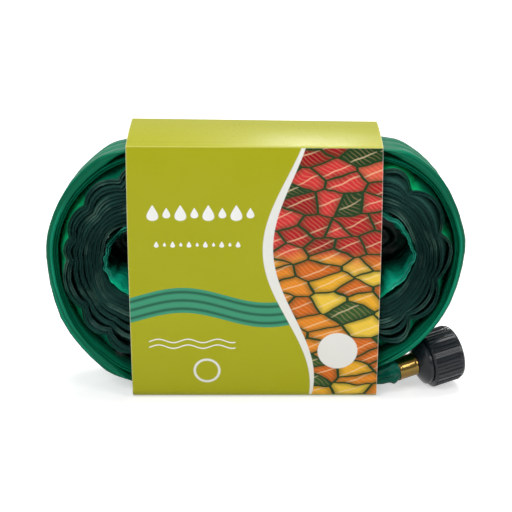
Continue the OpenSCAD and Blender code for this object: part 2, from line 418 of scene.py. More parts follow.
def wound(k):
    """Middle of the flat hose after k turns, clockwise from the front, as [x, z]"""
    s = place_on_line(k)
    return eased(OUTER_LINE, s).lerp(eased(CORE_LINE, s), packed(k))


RING_SEEN = 1.4 * MM            # spacing of the rings where the coil shows, and under the sleeve
RING_HIDDEN = 4.2 * MM


def ring_turns():
    """Turn count of each ring, from the outer end to the inner end"""
    turns = [0.0]
    nudge = 0.001
    while turns[-1] < TURNS:
        spot = wound(turns[-1])
        per_turn = (wound(turns[-1] + nudge) - spot).length / nudge
        spacing = mix(RING_HIDDEN, RING_SEEN, ramp(0.8 * SLEEVE_EDGE, SLEEVE_EDGE, abs(spot.x)))
        turns.append(min(TURNS, turns[-1] + spacing / per_turn))
    return turns


RING_TURNS = ring_turns()
RING_CENTRES = [wound(k) for k in RING_TURNS]


def ring_lengths():
    """Length of hose from its outer end to each ring"""
    run = [0.0]
    for a, b in zip(RING_CENTRES, RING_CENTRES[1:]):
        run.append(run[-1] + (b - a).length)
    return run


RING_LENGTHS = ring_lengths()
STRIP_LENGTH = RING_LENGTHS[-1]


def share_at(k):
    """Share of the hose's length that lies before turn k"""
    return next(run for turn, run in zip(RING_TURNS, RING_LENGTHS) if turn >= k) / STRIP_LENGTH


def whole_section(half):
    """Adds the mirror image to half a section of the hose, and gives it in metres"""
    half = [(d * MM, full) for d, full in half]
    return half + [(HOSE_W - d, full) for d, full in reversed(half[:-1])]


# Distance in from the hose's edge, and share of the full thickness there: two lips with a
# groove between them, and three puffed channels with a weld line between them
RIM_SECTION = whole_section(
    ((0.5, 0), (0, 0.55), (1.1, 0.97), (8, 1), (16.6, 0.86), (18, 0.5), (19.4, 0.86), (27, 1)),
)
BUNDLE_SECTION = whole_section(
    ((2.2, 0), (0, 0.68), (1.4, 0.97), (8, 1), (16.2, 0.84), (18, 0.4), (19.8, 0.84), (27, 1)),
)
ACROSS = len(RIM_SECTION) - 1

# How far the film's front edge leans out and its back edge leans in, for each point of the
# winding's line
FLARE = [x * MM for x in (0.3, 1.2, 2.5, 3, 1.2, 0, 1.2, 3, 2.5, 1, 0.1, 0, 0, 0, 0, 0, 0, 0, 0, 0.2)]

# Kinks where the flat hose buckles at its front and back edges, and the lobes between them:
# a kink's place on the line, and the height of the lobe after it
FRONT_LOBES = (
    (0.80, 0.8), (2.28, 0.8), (3.1, 0.7), (3.9, 0.7), (4.8, 0.7), (5.6, 0.7), (6.4, 0.7),
    (7.3, 0.62), (8.22, 0.45), (9.20, 0.35), (9.92, 0.65), (11.28, 0.42), (12.18, 0.5),
    (13.1, 0.7), (13.9, 0.7), (14.8, 0.7), (15.7, 0.7), (16.6, 0.7), (17.4, 0.75), (18.2, 0.7),
    (19.36, 0.8),
)
BACK_LOBES = (
    (0.3, 0.75), (1.5, 0.7), (2.4, 0.6), (3.1, 0.6), (3.8, 0.7), (4.7, 0.7), (5.5, 0.7),
    (6.5, 0.7), (7.4, 0.55), (8.3, 0.5), (9.1, 0.75), (10.3, 0.6), (11.2, 0.5), (12.1, 0.8),
    (13.4, 0.7), (14.3, 0.7), (15.2, 0.7), (16.2, 0.75), (17.3, 0.75), (18.4, 0.5), (19.2, 0.75),
)
# Where the bundle's front edges are pushed outwards, round the crumpled innermost turn: place
# on the line, width, height
CORE_OPENINGS = ((2.5, 1.0, 9), (17.8, 1.0, 8), (8.2, 0.9, 5), (11.9, 0.9, 6))
# Lumps that stand into the core from the innermost turn: place on the line, width, height
CORE_LUMPS = ((2.2, 0.5, 8), (1.3, 0.25, 2.5), (18.2, 0.5, 10), (19.3, 0.3, 2),
              (8.5, 0.4, 5), (9.3, 0.25, 2), (11.8, 0.4, 7), (11.1, 0.25, 2))


def lobe(lobes, s):
    """0 at a kink, and the lobe's height half way to the next kink"""
    first = lobes[0][0]
    if s < first:
        s += LINE_POINTS
    for (a, high), (b, _) in zip(lobes, lobes[1:] + ((first + LINE_POINTS, 0),)):
        if a <= s < b:
            return high * math.sin(math.pi * (s - a) / (b - a)) ** 0.8
    return 0.0


FILL = 0.475                    # half thickness of the puffed hose, as a share of the winding's pitch
MOST_PUFF = 1.6 * MM
BAND_GAP = 0.2 * MM             # between the outermost turn and the next one
MOST_BAND_PUFF = 3 * MM
BAND_THINS = (0.955, 1)         # turns over which the outermost turn's broad band ends
PUFFED_FROM = (0.9, 1.1)        # turns from which the hose is puffed under the sleeve too
RIM_BOW = 0.45 * MM             # how far the rim's turns crown outwards across their width
EDGE_TRIM = 0.055               # how far the film's edges stray inwards, as a share of its half width
FULLY_SHOWN = 1.2 * SLEEVE_EDGE
CORE_TURNS = (TURNS - 1.25, TURNS - 0.75)   # turns over which the crumpled innermost turn starts
# Stretches of the line: the left of the coil, and the part at the right where the lobes of
# several turns nest in each other
LEFT_PART = ((5, 7), (14, 12.5))
NESTED_PART = ((15, 17), (20.2, 19.6))
LOBES_FADE = (1.5, 0.6)         # how fast the lobes fade from turn to turn: elsewhere, and nested
KINK_HEIGHT = (0.02, 0.2)       # share of the room that a kink's edge keeps: elsewhere, and at the left
FLARE_FADE = 0.8
RIPPLE = (0.12, 0.5)            # height of the edges' ripple, in mm: elsewhere, and at the left
RIM_RIPPLE = 0.08 * MM
BAND_RIPPLE = 0.2 * MM
CRUMPLE = 0.6 * MM              # height of the innermost turn's crumples between its lumps
CRINKLE = 1.1 * MM
CURLED_BACK = 0.3               # share of a lump's height that is left at the very edge


class Ring:
    """What the film's shape depends on at one place along the hose"""

    def __init__(self, j):
        last = len(RING_TURNS) - 1
        self.k = RING_TURNS[j]
        self.s = place_on_line(self.k)
        self.centre = RING_CENTRES[j]
        way = RING_CENTRES[min(j + 1, last)] - RING_CENTRES[max(j - 1, 0)]
        self.outward = Vector((-way.y, way.x)).normalized()
        self.depth = (on_line(CORE_LINE, self.s) - on_line(OUTER_LINE, self.s)).length
        self.in_rim = self.k < RIM_END
        self.section = RIM_SECTION if self.in_rim else BUNDLE_SECTION
        self.inner = max(0.0, self.k - BUNDLE_START)
        self.left = between(*LEFT_PART, self.s)
        self.core = ramp(*CORE_TURNS, self.k)
        self.set_thickness()
        self.set_lobes()

    def set_thickness(self):
        """Sets half the hose's thickness, and the room that the bundle's lobes have"""
        k = self.k
        rim_pitch = self.depth * (RIM_SHARE - SECOND_SHARE) / (RIM_END - SECOND_START)
        rim_puff = min(FILL * rim_pitch, MOST_PUFF)
        band_room = self.depth * (packed(k + 1) - packed(k)) - rim_puff - BAND_GAP
        band_puff = min(max(band_room, rim_puff), MOST_BAND_PUFF)
        bundle_puff = min(FILL * self.depth * (1 - BUNDLE_SHARE) / BUNDLE_TURNS, MOST_PUFF)
        puffed = mix(band_puff, rim_puff, ramp(*BAND_THINS, k)) if self.in_rim else bundle_puff
        shown = ramp(SLEEVE_EDGE, FULLY_SHOWN, abs(self.centre.x))
        self.puff = mix(HOSE_T / 2, puffed, max(shown, ramp(*PUFFED_FROM, k)))
        apart = self.depth * (packed(BUNDLE_START + 0.5) - packed(BUNDLE_START - 0.5))
        room = apart - rim_puff - bundle_puff + RIM_BOW
        self.room = 0.0 if self.in_rim else room * ramp(0, 0.05, self.inner)

    def set_lobes(self):
        """Sets how far the film's front and back edges and its middle stand out"""
        s = self.s
        self.bow = RIM_BOW if self.in_rim else 0.0
        self.flare = on_line(FLARE, s) * (1 if self.in_rim else math.exp(-FLARE_FADE * self.inner))
        nested = max(self.left, between(*NESTED_PART, s))
        fade = math.exp(-mix(*LOBES_FADE, nested) * max(0.0, self.inner - 0.9))
        low = mix(*KINK_HEIGHT, self.left)
        self.edge_out = {
            -1: self.room * fade * mix(low, 1, lobe(FRONT_LOBES, s)),
            1: self.room * fade * mix(low, 1, lobe(BACK_LOBES, s)),
        }
        opened = sum(high * hump(middle, width, s) for middle, width, high in CORE_OPENINGS) * MM
        self.opened = opened * min(1.0, self.inner / (BUNDLE_TURNS - 1))
        self.middle_out = self.room * (1 - max(0.0, self.inner - 1) / (BUNDLE_TURNS - 1))

    def lump(self, v):
        """How far the innermost turn is crumpled into the core"""
        if self.core == 0:
            return 0.0
        high = sum(h * hump(middle, width, self.s) for middle, width, h in CORE_LUMPS) * MM
        spot = Vector((self.s * 1.3, v * 1.6, 0.3 * self.k))
        rough = 0.9 + 0.9 * noise.noise(spot) + 0.35 * noise.noise(spot * 2.5)
        crinkle = CRINKLE * noise.noise(Vector((self.s * 3.7, v * 2.6, 4.0)))
        at_edge = mix(1, CURLED_BACK, ramp(-0.6, -1, v))
        return self.core * ((high * at_edge + CRUMPLE) * rough + crinkle) * ramp(0.45, -0.6, v)

    def offset(self, v):
        """How far the film stands out from the winding's line, at place v across it"""
        middle = ramp(0.98, 0.4, abs(v))
        out = mix(self.edge_out[-1 if v < 0 else 1], self.middle_out, middle)
        ripple = mix(*RIPPLE, self.left) * MM if self.inner else RIM_RIPPLE
        ripple *= wave(self.s * 1.7, 2.0 + 0.04 * self.k) * abs(v)
        if self.k < 1:
            ripple += BAND_RIPPLE * max(0.0, wave(self.s * 6, 8 + 0.9 * v)) * ramp(1, 0.8, self.k)
        out += ripple + self.opened * ramp(0.1, -0.7, v)
        return out + self.bow * (1 - v * v) - self.flare * v - self.lump(v)


LIP_W = 1 * MM


def make_hose_coil():
    """The whole winding, as one closed tube of film"""
    rings = [Ring(j) for j in range(len(RING_TURNS))]
    sides = 2 * ACROSS

    def place(j, side):
        ring = rings[j]
        i = side if side <= ACROSS else sides - side
        face = 1 if side <= ACROSS else -1
        from_edge, full = ring.section[i]
        v = 2 * from_edge / HOSE_W - 1
        middle = ring.centre + ring.outward * ring.offset(v)
        if abs(middle.x) < SLEEVE_EDGE + 2 * MM:
            middle.y = min(middle.y, SLEEVE_CEILING)
        flat = middle + ring.outward * (face * full * ring.puff)
        trim = 1 - EDGE_TRIM * (0.5 + 0.5 * wave(ring.k * 3.1, 5.0 + math.copysign(1, v)))
        return Vector((flat.x, v * HOSE_W / 2 * mix(1, trim, abs(v)), flat.y))

    def lay_out(j, side):
        from_edge = rings[j].section[side if side <= ACROSS else sides - side][0]
        return RING_LENGTHS[j], from_edge if side <= ACROSS else 2 * HOSE_W - from_edge

    bm = bmesh.new()
    swept(bm, len(rings), sides, place, lay_out)
    flat = bm.loops.layers.uv["sheet"]
    core_start = share_at(TURNS - 1) * STRIP_LENGTH
    rim_end = share_at(RIM_END) * STRIP_LENGTH
    for face in bm.faces:
        run = max(loop[flat].uv.x for loop in face.loops)
        across = [loop[flat].uv.y % HOSE_W for loop in face.loops]
        on_lip = min(min(d, HOSE_W - d) for d in across) < LIP_W
        if run > core_start:
            face.material_index = 1
        elif run < rim_end and on_lip:
            face.material_index = 2
    films = [make_coil_film("hose_film", 0.4), make_core_film(), make_coil_film("rim_lip_film", 0.12)]
    finished("wound_hose", bm, "coil", films, FILM_CREASE, ["hose_coil"])


# ---- the hose's material ----

# painted light: the outermost turn is painted lighter than the rim's other turns of the same film
OUTERMOST_LIT_GREEN = (0.003, 0.225, 0.112)
EMERALD = (0.002, 0.15, 0.078)
# painted light: the first turn of the bundle, where light comes through the outer turns
ZONE_LIT_GREEN = (0.004, 0.25, 0.135)
# painted shade: the bundle, where many turns shade each other, and the inner faces of its turns
BUNDLE_SHADE_GREEN = (0.055, 0.185, 0.155)
LIP_GREEN = (0.026, 0.088, 0.078)
# painted highlight: glints along the bundle's lips
LIP_PAINTED_GLINT = (0.17, 0.32, 0.26)
# painted light: bright patches where light comes through the first turn of the bundle
ZONE_BRIGHT = (0.01, 0.8, 0.28)
RIM_LIP = (0.002, 0.14, 0.07)
# painted highlight: light streaks along the rim's lips
RIM_HIGHLIGHT_STREAK = (0.005, 0.30, 0.17)
# painted highlight: light streaks along the rim's faces
FACE_HIGHLIGHT_STREAK = (0.03, 0.42, 0.28)
# painted highlight: the innermost turn's lighter lips
CORE_LIP_HIGHLIGHT = (0.06, 0.52, 0.40)
# painted light: the innermost turn's bright colour
CORE_LIT_GREEN = (0.008, 0.52, 0.33)
# painted light: the lit floor of the core
CORE_FLOOR_LIT_GREEN = (0.01, 0.72, 0.46)
CORE_CLOUD = (0.004, 0.12, 0.08)
# painted shade: the innermost turn, deeper into the core
CORE_DEPTH_SHADE = (0.002, 0.04, 0.028)
# painted shade: the inside of the small holes
HOLE_SHADE = (0.001, 0.004, 0.003)
# painted shade: the folded run is dark as the shade in the back of the core
FOLDED_SHADE_GREEN = (0.004, 0.03, 0.021)
FOLDED_PALE = (0.006, 0.07, 0.045)
GATHERED_GREEN = (0.003, 0.085, 0.055)
GATHERED_PALE = (0.006, 0.24, 0.16)


def film_shader(p, colour, along, dullness, relief, glow, sheen):
    """Glossy film with fine lengthwise streaks and cross wrinkles, and relief of its own"""
    streaks = p.stretched_noise(along, (6.0, 900.0, 1.0), 2)
    wrinkles = p.stretched_noise(along, (140.0, 40.0, 1.0), 3, distortion=0.6)
    height = p.math("ADD", p.scaled(streaks, 0.2), p.scaled(wrinkles, 0.8))
    haze = p.noise(along, 30, 3)
    normal = p.bump(p.math("ADD", height, relief), 0.35, 0.0006)
    roughness = p.math("ADD", p.scaled(haze, 0.14, 0.08), dullness)
    gloss = p.surface(colour, roughness, normal, IOR=1.42, Specular_IOR_Level=sheen)
    return p.with_glow_through(gloss, colour, glow)


HOLE_GAP = 24 * MM
HOLE_R = 0.45 * MM
WELD = HOSE_W / 3               # place of the weld lines between the channels
WELD_W = 1.4 * MM
# Distances in from the hose's edge over which a lip's colour, with its painted glints and painted
# highlight streaks, ends, and a face's shine and painted highlight streaks start
LIP_ENDS = (2.6 * MM, 1.2 * MM)
RIM_LIP_ENDS = (2.2 * MM, 0.9 * MM)
FACE_STARTS = (1.5 * MM, 5 * MM)
CLOUD_LIFT = 1.5                # how much lighter the film is in its clouds
LIT_START = 10 * MM             # light comes through the film from this height up
LIT_FULLY = 130 * MM
LIT_FLOOR_TOP = 84 * MM               # painted light on the core's floor starts at this height
LIT_FLOOR_LOW = 78 * MM               # and is full from here down
LIT_FLOOR_ENDS = (34 * MM, 16 * MM)   # and it ends over these depths from the front edge
CORE_LIP_ENDS = (3 * MM, 0.5 * MM)
# distances in from the front edge over which the painted shade in the core comes in
CORE_SHADE_DEPTHS = (6 * MM, 20 * MM)


def pinholes(p, run, from_edge, start, row):
    """1 inside a row of the small holes that the hose leaks through"""
    along = p.math("PINGPONG", p.math("ADD", run, start), HOLE_GAP / 2)
    away = p.vector("LENGTH", p.combine(along, p.math("SUBTRACT", from_edge, row)))
    return p.step(1.3 * HOLE_R, 0.7 * HOLE_R, away)


def turn_colours(p, share):
    """The film's colour by its place along the hose: emerald at the rim, its outermost turn lighter as
    painted light, brighter beside the rim as painted light where light comes through, and a duller
    green as painted shade where many turns lie together"""
    return p.ramp(share, [
        (0.0, OUTERMOST_LIT_GREEN), (share_at(0.97), OUTERMOST_LIT_GREEN), (share_at(1.05), EMERALD),
        (share_at(RIM_END), EMERALD), (share_at(BUNDLE_START), ZONE_LIT_GREEN),
        (share_at(3.95), ZONE_LIT_GREEN), (share_at(4.25), BUNDLE_SHADE_GREEN), (1.0, BUNDLE_SHADE_GREEN),
    ])


def lip_colours(p, along, from_edge, lip, in_bundle, body):
    """Grey-green lips in the bundle with painted glints, and emerald ones on the rim with painted
    highlight streaks
    """
    painted_glint = p.step(0.5, 0.66, p.stretched_noise(along, (32.0, 0.0, 0.0), 3))
    lips = p.blend(p.scaled(painted_glint, 0.7), LIP_GREEN, LIP_PAINTED_GLINT)
    body = p.blend(p.both(in_bundle, lip), body, lips)
    painted_streak = p.step(0.5, 0.62, p.stretched_noise(along, (9.0, 1500.0, 0.0), 2))
    rim_lip = p.without(p.step(*RIM_LIP_ENDS, from_edge), in_bundle)
    return p.blend(p.scaled(rim_lip, 0.9), body, p.blend(painted_streak, RIM_LIP, RIM_HIGHLIGHT_STREAK))


def lit_through(p, share, covered, body):
    """Bright patches where light comes through the first turn of the bundle"""
    place = p.place()
    high = p.step(LIT_START, LIT_FULLY, p.separate(place)[2])
    lit = p.both(high, p.step(0.43, 0.57, p.noise(place, 38, 1)))
    in_zone = p.window(share_at(RIM_END), share_at(4.0), 0.004, share)
    lit = p.both(lit, p.without(in_zone, covered))
    return p.blend(p.scaled(lit, 0.85), body, ZONE_BRIGHT)


def make_coil_film(name, sheen):
    """The wound film, with welds and rows of small holes between its channels"""
    p = Paint(name)
    along = p.uv()
    run, across, _ = p.separate(along)
    share = p.math("DIVIDE", run, STRIP_LENGTH)
    from_edge = p.math("PINGPONG", across, HOSE_W / 2)
    in_bundle = p.step(share_at(RIM_END), share_at(BUNDLE_START), share)
    inside = p.step(HOSE_W - 0.1 * MM, HOSE_W + 0.1 * MM, across)
    lip = p.step(*LIP_ENDS, from_edge)
    # painted shade on the inner faces of the bundle's turns
    body = p.blend(p.both(in_bundle, inside), turn_colours(p, share), BUNDLE_SHADE_GREEN)
    body = lip_colours(p, along, from_edge, lip, in_bundle, body)
    body = lit_through(p, share, p.either(lip, inside), body)

    on_face = p.without(p.step(*FACE_STARTS, from_edge), in_bundle)
    # painted highlight streaks on the rim's faces, which are glossier there as well
    gloss_and_painted_streak = p.step(0.5, 0.68, p.stretched_noise(along, (4.0, 260.0, 0.0), 3))
    body = p.blend(p.scaled(p.both(gloss_and_painted_streak, on_face), 0.5), body, FACE_HIGHLIGHT_STREAK)
    dullness = p.scaled(p.both(on_face, p.scaled(gloss_and_painted_streak, -0.6, 1)), 0.2, 0.06)
    cloud = p.noise(along, 24, 3)
    lighter = p.vector("MULTIPLY", body, (CLOUD_LIFT, CLOUD_LIFT, CLOUD_LIFT))
    body = p.blend(p.scaled(p.step(0.4, 0.75, cloud), 0.5), body, lighter)

    weld = p.window(WELD - WELD_W / 2, WELD + WELD_W / 2, 0.4 * MM, from_edge)
    middle_row = pinholes(p, run, from_edge, 0.0, HOSE_W / 2)
    side_rows = pinholes(p, run, from_edge, HOLE_GAP / 2, HOSE_W / 6)
    holes = p.without(p.either(middle_row, side_rows), inside)
    body = p.blend(p.scaled(weld, 0.45), body, LIP_GREEN)
    # the holes are painted dark as their shade
    body = p.blend(p.scaled(holes, 0.9), body, HOLE_SHADE)
    dents = p.stretched_noise(along, (55.0, 20.0, 1.0), 2, distortion=1.0)
    relief = p.math("SUBTRACT", p.both(on_face, p.scaled(dents, 5.0)), p.scaled(holes, 1.5))
    return p.finish(film_shader(p, body, along, dullness, relief, glow=0.3, sheen=sheen))


def make_core_film():
    """The innermost turn: crumpled and teal, painted bright as painted light, with lips lighter as
    painted highlights, painted shade deeper into the core, and painted light on the core's floor
    """
    p = Paint("core_film")
    along = p.uv()
    depth = p.math("PINGPONG", p.separate(along)[1], HOSE_W)
    # painted light on the innermost turn, with its lips lighter as painted highlights
    body = p.blend(p.step(*CORE_LIP_ENDS, depth), CORE_LIT_GREEN, CORE_LIP_HIGHLIGHT)
    # painted shade deeper into the core
    body = p.blend(p.scaled(p.step(*CORE_SHADE_DEPTHS, depth), 0.85), body, CORE_DEPTH_SHADE)
    body = p.blend(p.step(0.45, 0.7, p.noise(along, 70, 2)), body, CORE_CLOUD)
    place = p.place()
    # painted light on the core's floor
    floor = p.both(p.step(LIT_FLOOR_TOP, LIT_FLOOR_LOW, p.separate(place)[2]), p.step(*LIT_FLOOR_ENDS, depth))
    body = p.blend(p.both(floor, p.step(0.36, 0.56, p.noise(place, 60, 2))), body, CORE_FLOOR_LIT_GREEN)
    crumple = p.scaled(p.noise(along, 90, 2, distortion=1.5), 9.0)
    return p.finish(film_shader(p, body, along, 0.0, crumple, glow=0.3, sheen=1.0))


def make_gathered_film(name, colour, pale):
    """Film that is folded up or gathered, with paler clouds"""
    p = Paint(name)
    along = p.uv()
    cloud = p.noise(along, 60, 3)
    body = p.blend(p.step(0.45, 0.8, cloud), colour, pale)
    return p.finish(film_shader(p, body, along, 0.08, 0.0, glow=0.25, sheen=0.22))


# ---- the hose's folded inner run and gathered ends ----

# Middle of the run that is folded up in the back of the core, as [x, z]
FOLD_LINE = points(
    (-68, 106.6), (-34, 110.4), (0, 110.9), (36, 110.2), (66, 108.4), (86.4, 104.6), (93.2, 94.3),
    (85, 85), (66, 78.6), (36, 77), (0, 76.5), (-36, 77), (-64, 79.6), (-80, 84.5), (-86.4, 92.2),
    (-81.8, 100), (-58, 98.4), (-24, 98.8), (16, 99.2), (52, 99.6), (74, 99.6), (83, 94.6), (74, 89.6),
    (50, 88), (12, 87.8), (-24, 88), (-56, 90), (-83.5, 94.5),
)
FOLD_MIDDLE_Y = 18 * MM
FOLD_HALF_W = 8.2 * MM
FOLD_HALF_T = 5.9 * MM
FOLD_PLEATS = 5
FOLD_PLEAT_DEPTH = 0.07
FOLD_CREASE_DEPTH = 0.12
FOLD_END_PINCH = 0.25           # share of its width that the folded run loses over its last rings
FOLD_END_RINGS = 4


def make_core_fold():
    """The hose's last stretch, folded to and fro in the back of the core"""
    steps = 7
    sides = 22
    rings = (len(FOLD_LINE) - 1) * steps + 1
    last = rings - 1
    centres = [on_open_line(FOLD_LINE, j / steps) for j in range(rings)]

    def place(j, side):
        way = centres[min(j + 1, last)] - centres[max(j - 1, 0)]
        up = Vector((-way.y, way.x)).normalized()
        a = 2 * math.pi * (side + 0.5) / sides
        pleat = 1 + FOLD_PLEAT_DEPTH * math.cos(FOLD_PLEATS * a + 1.5 * wave(j * 0.09, 4))
        crease = 1 - FOLD_CREASE_DEPTH * abs(wave(j * 0.55, 9 + 0.3 * math.cos(a)))
        at_end = ramp(FOLD_END_RINGS, 0, j) + ramp(last - FOLD_END_RINGS, last, j)
        narrow = 1 - FOLD_END_PINCH * at_end
        wide = abs(math.cos(a)) ** 0.6 * math.copysign(FOLD_HALF_W, math.cos(a)) * pleat * narrow
        thick = abs(math.sin(a)) ** 0.6 * math.copysign(FOLD_HALF_T, math.sin(a)) * pleat * crease
        flat = centres[j] + up * thick * narrow
        return Vector((flat.x, FOLD_MIDDLE_Y + wide, flat.y))

    bm = bmesh.new()
    swept(bm, rings, sides, place, lambda j, side: (j * 4 * MM, side * 2 * MM))
    # painted shade: the folded run's film is dark as the shade in the back of the core
    film = make_gathered_film("folded_film", FOLDED_SHADE_GREEN, FOLDED_PALE)
    finished("folded_hose", bm, "coil", [film], FILM_CREASE, ["hose_core_fold"])


FERRULE_OD = 15
FERRULE_WALL = 0.5
FERRULE_L = 13
CUFF_R = FERRULE_OD / 2 - FERRULE_WALL - 0.02
INLET_MOUTH = Vector((90.3, -17.4, 15.1)) * MM
INLET_TURN = Matrix.Rotation(math.radians(22), 4, "Z") @ Matrix.Rotation(math.radians(81.5), 4, "Y")
END_MOUTH = Vector((12, -9, 92.5)) * MM
END_TURN = Matrix.Rotation(math.radians(90), 4, "Y")
INLET_PLACE = Matrix.Translation(INLET_MOUTH) @ INLET_TURN
END_PLACE = Matrix.Translation(END_MOUTH) @ END_TURN


def bezier(p, t):
    u = 1 - t
    return p[0] * u ** 3 + p[1] * 3 * u * u * t + p[2] * 3 * u * t * t + p[3] * t ** 3


def bezier_way(p, t):
    u = 1 - t
    return ((p[1] - p[0]) * u * u + (p[2] - p[1]) * 2 * u * t + (p[3] - p[2]) * t * t).normalized()


TAIL_PLEATS = 9
TAIL_PLEAT_DEPTH = 0.11
TAIL_FLARE = 0.26               # how far the film bulges just before the ferrule, as a share
TAIL_INSIDE = 1.6 * MM          # how far it reaches into the ferrule


def make_gathered_tail(name, node, route, start_w, start_t, film, roll_over=0.0):
    """The hose's end: flat where it leaves the winding, pleated where it enters the ferrule"""
    rings = 64
    sides = 72
    inside = 6

    def place(j, side):
        t = min(1.0, j / (rings - inside))
        way = bezier_way(route, t)
        across = Vector((0, 0, 1)).cross(way).normalized()
        high = way.cross(across)
        roll = roll_over * hump(0.75, 0.25, t)
        across, high = across + high * roll, high - across * roll
        a = 2 * math.pi * (side + 0.5) / sides
        c, s = math.cos(a), math.sin(a)
        power = mix(0.06, 1, min(1, t * 3))
        half_w = mix(start_w / 2, CUFF_R, t ** 0.7)
        half_t = mix(start_t / 2, CUFF_R, t ** 1.6)
        flare = TAIL_FLARE * hump(0.95, 0.03, t) - 0.03 * ramp(0.9, 1, t)
        pleat = TAIL_PLEAT_DEPTH * between((0.35, 0.9), (1.0, 0.97), t)
        fold = math.cos(TAIL_PLEATS * a + 1.3 * wave(t * 3, 3)) + 0.4 * wave(t * 9, 6 + 2 * c)
        grow = 1 + flare + pleat * (fold - 0.5)
        wide = half_w * math.copysign(abs(c) ** power, c) * grow
        tall = half_t * math.copysign(abs(s) ** power, s) * grow
        on = max(0.0, j - (rings - inside)) / (inside - 1) * TAIL_INSIDE
        return bezier(route, t) + way * on + across * wide * MM + high * tall * MM

    bm = bmesh.new()
    swept(bm, rings, sides, place, lambda j, side: (j * MM, side * 0.7 * MM))
    finished(name, bm, "coil", [film], FILM_CREASE, [node])


def make_tails():
    """The two ends, from where they leave the winding and the folded run to their ferrules"""
    film = make_gathered_film("gathered_film", GATHERED_GREEN, GATHERED_PALE)
    start = Vector((RING_CENTRES[0].x, 0, RING_CENTRES[0].y))
    leaving = wound(0) - wound(1 / 48)
    start_way = Vector((leaving.x, 0, leaving.y)).normalized()
    inlet_way = INLET_TURN @ Vector((0, 0, 1))
    inlet_route = [start, start + start_way * 18 * MM, INLET_MOUTH - inlet_way * 22 * MM, INLET_MOUTH]
    flat_w, flat_t = HOSE_W / MM, HOSE_T / MM
    make_gathered_tail("inlet_hose_end", "hose_inlet_tail", inlet_route, flat_w, flat_t, film, 0.22)
    core_route = [
        Vector((-36, 9.5, 93)) * MM, Vector((-36, -6.5, 93)) * MM,
        END_MOUTH - Vector((26, 0, 0)) * MM, END_MOUTH,
    ]
    make_gathered_tail("core_hose_end", "hose_core_tail", core_route, 20, 9, film)


# ---- fittings: heights are measured along each fitting from its ferrule's mouth ----

BRASS = (0.19, 0.125, 0.035)
BRASS_BLOTCH = (0.24, 0.125, 0.03)
BLACK_PLASTIC = (0.0075, 0.0105, 0.014)
PLASTIC_SCUFF = (0.014, 0.019, 0.024)
RUBBER_BLACK = (0.02, 0.02, 0.02)
RUBBER_GREY = (0.05, 0.048, 0.045)

# Ferrules
CRIMPS = 8
CRIMP_DEPTH = 0.12
ROLL_L = 1.2                    # length of the rolled ends
WAIST_START = 2
WAIST_DEPTH = 0.15

# Stems: four barbs, a cone and a collar
WATER_R = 3.5
STEM_START = 0.6
BARBS = 4
BARB_START = 1.2
BARB_GAP = 2.8
BARB_L = 2
BARB_H = 0.5
BARB_R = 4.9
CONE_ROOT_R = 6.8
CONE_L = 4.4
COLLAR_L = 2.6
COLLAR_R = 14.8
COLLAR_END = FERRULE_L + CONE_L + COLLAR_L
END_GAP = 0.3                   # between parts that turn against each other

# Nut, and the neck and flange that it turns on
NUT_START = COLLAR_END + END_GAP
NUT_L = 21.2
NUT_R = 17.3
NUT_CREST = 18
NUT_RIBS = 42
NUT_BACK_SLOPE = 1.4
NUT_BEVEL = 1.1
MOUTH_BEVEL = 0.8
CAVITY_START = NUT_START + 3.5
FLANGE_START = CAVITY_START + END_GAP
FLANGE_END = FLANGE_START + 2
NECK_R = 9.7
FLANGE_R = 11.5

# Threads
THREAD_START = FLANGE_END + 2.5 + END_GAP
THREAD_PITCH = 1.814
FEMALE_CREST = 12.1
FEMALE_ROOT = 13
MALE_CREST = 13.2
MALE_ROOT = 12.4
END_THREAD_L = 11
THREAD_BORE_R = 9
RIDGE_MARGIN = 1.6

# End cap
CAP_START = COLLAR_END + END_GAP
CAP_INSIDE = END_THREAD_L + 2.7
CAP_END = CAP_START + CAP_INSIDE + 2
CAP_R = 16.1
CAP_CREST = 16.5
CAP_RIBS = 28

STEPS_PER_RIB = 12
RIB_EASE = 0.4                  # length over which a rib rises at its ends


def make_black_plastic():
    p = Paint("black_plastic")
    place = p.place()
    grain = p.noise(place, 2600, 2)
    scuffs = p.noise(place, 90, 4)
    colour = p.blend(p.step(0.5, 0.8, scuffs), BLACK_PLASTIC, PLASTIC_SCUFF)
    normal = p.bump(grain, 0.15, 0.00005)
    return p.finish(p.surface(colour, p.scaled(scuffs, 0.16, 0.16), normal, Specular_IOR_Level=0.3))


def make_brass():
    p = Paint("drawn_brass")
    place = p.place()
    blotch = p.noise(place, 160, 4)
    colour = p.blend(p.step(0.45, 0.75, blotch), BRASS, BRASS_BLOTCH)
    scratches = p.stretched_noise(place, (300.0, 2500.0, 2500.0), 2)
    roughness = p.scaled(blotch, 0.1, 0.1)
    return p.finish(p.surface(colour, roughness, p.bump(scratches, 0.15, 0.00005), Metallic=1.0))


def make_rubber():
    p = Paint("washer_rubber")
    speck = p.noise(p.place(), 900, 4)
    colour = p.blend(speck, RUBBER_BLACK, RUBBER_GREY)
    return p.finish(p.surface(colour, 0.62, p.bump(speck, 0.3, 0.0001)))


def put_on(bm, place):
    bmesh.ops.transform(bm, matrix=place, verts=list(bm.verts))


def radially(vert, distance):
    """Moves a corner away from the Z axis"""
    r = math.hypot(vert.co.x, vert.co.y)
    vert.co.x *= 1 + distance / r
    vert.co.y *= 1 + distance / r


